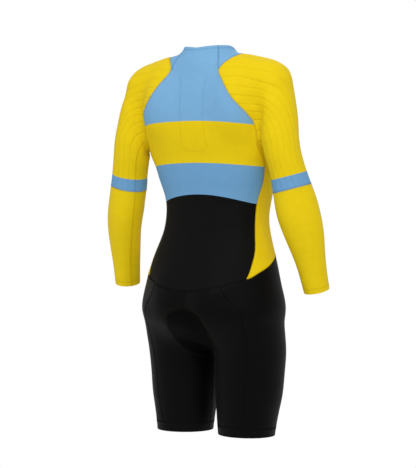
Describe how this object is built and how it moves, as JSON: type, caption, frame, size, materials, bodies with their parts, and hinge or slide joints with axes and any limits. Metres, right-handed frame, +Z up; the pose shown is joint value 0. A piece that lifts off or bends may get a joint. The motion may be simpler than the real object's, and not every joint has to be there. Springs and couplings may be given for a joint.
{
  "type": "cycling skinsuit",
  "caption": "Close-fitting long-sleeved, short-legged skinsuit in its worn form: ribbed raglan sleeves, long front zip, low collarless neck, seat pad and gripper leg bands.",
  "frame": {"origin": "middle of the neck's base, level with the shoulders, where a wearer's shoulders carry the suit", "axes": "+Z up, -Y out of the zipped front, +X to the wearer's left"},
  "size_m": [0.5858, 0.2725, 0.9239],
  "materials": {
    "back_panel": "matt two-way stretch knit, blue, yellow and black zones printed on it",
    "front_left": "matt two-way stretch knit, printed zones",
    "front_right": "matt two-way stretch knit, printed zones",
    "side_panel_left": "matt two-way stretch knit",
    "side_panel_right": "matt two-way stretch knit",
    "sleeve_upper_left": "ribbed stretch knit",
    "sleeve_upper_right": "ribbed stretch knit",
    "sleeve_lower_left": "plain stretch knit, blue band at the elbow",
    "sleeve_lower_right": "plain stretch knit, blue band at the elbow",
    "short_back_left": "black stretch knit with a slight sheen",
    "short_back_right": "black stretch knit with a slight sheen",
    "short_side_left": "black stretch knit with a slight sheen",
    "short_side_right": "black stretch knit with a slight sheen",
    "short_front_left": "black stretch knit with a slight sheen",
    "short_front_right": "black stretch knit with a slight sheen",
    "saddle_panel": "black stretch knit",
    "chamois_pad": "foam pad faced with black knit",
    "leg_band_left": "black elastic gripper band",
    "leg_band_right": "black elastic gripper band",
    "zip": "black zip tape with closed nylon teeth",
    "zip_slider": "dark coated metal",
    "zip_pull": "dark coated metal"
  },
  "bodies": {
    "suit": {"back_panel": "back_panel", "front_left": "front_left", "front_right": "front_right", "side_panel_left": "side_panel_left", "side_panel_right": "side_panel_right", "sleeve_upper_left": "sleeve_upper_left", "sleeve_upper_right": "sleeve_upper_right", "sleeve_lower_left": "sleeve_lower_left", "sleeve_lower_right": "sleeve_lower_right", "short_back_left": "short_back_left", "short_back_right": "short_back_right", "short_side_left": "short_side_left", "short_side_right": "short_side_right", "short_front_left": "short_front_left", "short_front_right": "short_front_right", "saddle_panel": "saddle_panel", "chamois_pad": "chamois_pad", "leg_band_left": "leg_band_left", "leg_band_right": "leg_band_right", "zip": "zip", "zip_slider": "zip_slider"},
    "pull_tab": {"zip_pull": "zip_pull"}
  },
  "joints": [
    {"name": "pull_tab_swing", "type": "hinge", "parent": "suit", "child": "pull_tab", "pos_m": [0, -0.05084, -0.00626], "axis": [-1, 0, 0], "range_deg": [0, 150]}
  ]
}
